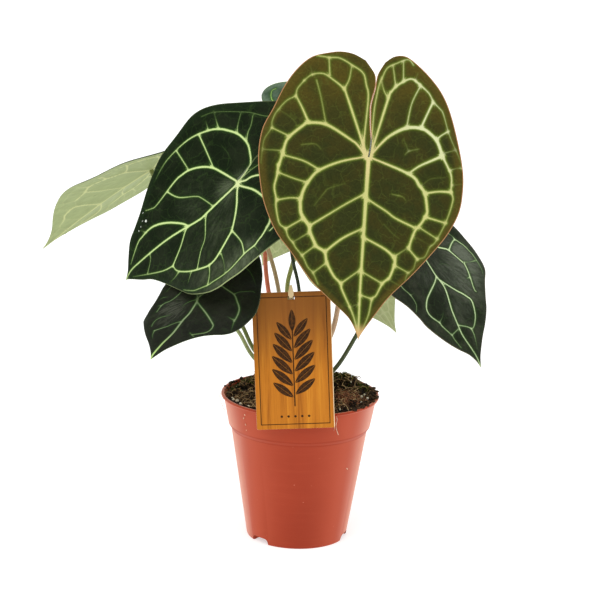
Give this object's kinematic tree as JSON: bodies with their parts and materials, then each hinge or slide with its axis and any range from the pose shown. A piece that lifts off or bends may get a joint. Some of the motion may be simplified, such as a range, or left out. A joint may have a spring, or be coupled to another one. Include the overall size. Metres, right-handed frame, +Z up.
{
  "type": "potted anthurium clarinervium",
  "caption": "Potted aroid with heart-shaped, pale-veined velvety leaves on slender stalks, in a tapered nursery pot of peat with a wooden label on a stick.",
  "frame": {"origin": "centre of the pot's underside, on the surface that the pot stands on", "axes": "+Z up along the pot's axis, -Y to the front where the label and the largest leaf face, +X to the right as seen from the front"},
  "size_m": [0.3524, 0.2883, 0.3759],
  "materials": {
    "pot": "satin terracotta-coloured plastic, lightly scuffed",
    "peat": "moist fibrous peat with moss and perlite",
    "crown": "dry papery stem base",
    "blade_bronze": "velvety olive-bronze with pale veins",
    "blade_green": "velvety dark green with pale veins, pale underside",
    "stalk_tan": "smooth, waxy",
    "stalk_green": "smooth, waxy",
    "stalk_red": "smooth, waxy",
    "label_wood": null,
    "stick_wood": "raw flat wood"
  },
  "bodies": {
    "root": {"pot": "pot", "soil": "peat", "crown": "crown", "blade_front": "blade_bronze", "blade_left": "blade_green", "blade_low_left": "blade_green", "blade_right": "blade_green", "blade_far_left": "blade_green", "blade_top": "blade_green", "blade_back_left": "blade_green", "blade_back_right": "blade_green", "stalk_front": "stalk_tan", "stalk_left": "stalk_tan", "stalk_low_left": "stalk_green", "stalk_right": "stalk_green", "stalk_far_left": "stalk_green", "stalk_top": "stalk_green", "stalk_back_left": "stalk_red", "stalk_back_right": "stalk_green", "label": "label_wood", "label_stick": "stick_wood"}
  },
  "joints": []
}
